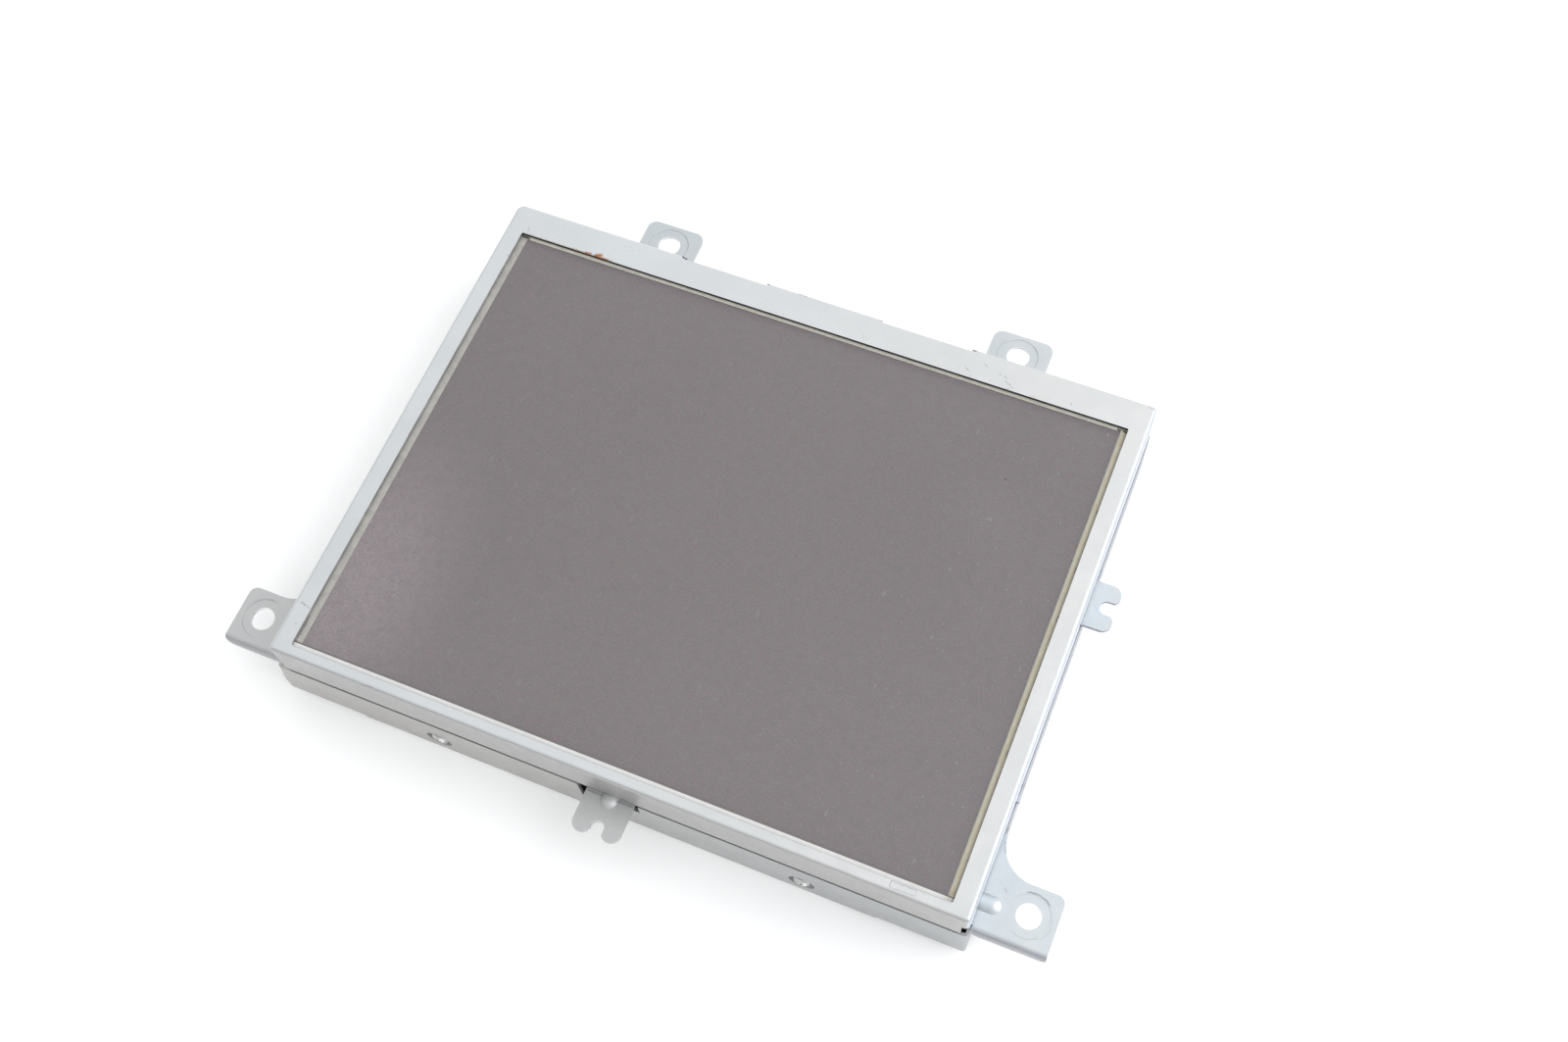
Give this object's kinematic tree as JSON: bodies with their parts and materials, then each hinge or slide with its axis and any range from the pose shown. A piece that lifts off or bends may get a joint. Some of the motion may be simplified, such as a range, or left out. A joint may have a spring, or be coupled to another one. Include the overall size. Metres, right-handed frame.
{
  "type": "car navigation display",
  "caption": "Flat rectangular touch-screen display module in a stamped steel housing, with screw ears and slotted locating tabs round its edges and a socket in its back.",
  "frame": {"origin": "on the outer face of the flat back panel, midway between the screw holes across the screen and at the middle of the bezel's height", "axes": "+X to the right across the screen, +Y towards the two top ears, +Z out of the screen"},
  "size_m": [0.2242, 0.1713, 0.033],
  "materials": {
    "bezel_plate": "satin zinc-plated sheet steel, pale and nearly matt",
    "chassis_plate": "satin zinc-plated sheet steel, faintly blue",
    "cover_plate": "satin zinc-plated sheet steel, neutral grey",
    "screw_steel": "bright zinc-plated steel with a faint yellow tinge",
    "black_foam": "matt closed-cell foam",
    "cream_tape": "matt cream adhesive tape",
    "screen_film": "anti-glare coated film over an unlit panel, with fine dust",
    "panel_glass": "clear float glass",
    "polariser_film": "smooth dark film",
    "amber_film": "translucent amber polyimide",
    "black_epoxy": "matt moulding compound",
    "black_moulding": "matt glass-filled moulding",
    "white_moulding": "matt moulded plastic",
    "optical_sheet": "fine matt film",
    "acrylic_guide": "clear polished acrylic",
    "lamp_yellow": "phosphor-filled resin",
    "cream_sheet": "thin matt fibre sheet",
    "green_board": "solder-masked glass fibre",
    "coil_grey": "moulded ferrite",
    "can_aluminium": "drawn aluminium cans",
    "cream_connector": "moulded nylon",
    "black_connector": "moulded nylon",
    "pin_brass": "plated contacts"
  },
  "bodies": {
    "root": {"front_bezel": "bezel_plate", "bezel_gasket": "black_foam", "edge_tape": "cream_tape", "touch_film": "screen_film", "touch_glass": "panel_glass", "touch_flex": "amber_film", "panel_gasket": "black_foam", "front_polariser": "polariser_film", "filter_glass": "panel_glass", "tft_glass": "panel_glass", "driver_chips": "black_epoxy", "panel_flex": "amber_film", "rear_polariser": "polariser_film", "mould_frame": "black_moulding", "prism_sheet": "optical_sheet", "diffuser_sheet": "optical_sheet", "light_guide": "acrylic_guide", "reflector_sheet": "optical_sheet", "led_strip": "white_moulding", "backlight_leds": "lamp_yellow", "led_flex": "amber_film", "chassis": "chassis_plate", "insulator_sheet": "cream_sheet", "board_posts": "chassis_plate", "control_board": "green_board", "board_screws": "screw_steel", "board_chips": "black_epoxy", "board_coils": "coil_grey", "board_capacitors": "can_aluminium", "flex_sockets": "cream_connector", "rear_header": "black_connector", "header_pins": "pin_brass", "rear_cover": "cover_plate", "cover_screws": "screw_steel"}
  },
  "joints": []
}
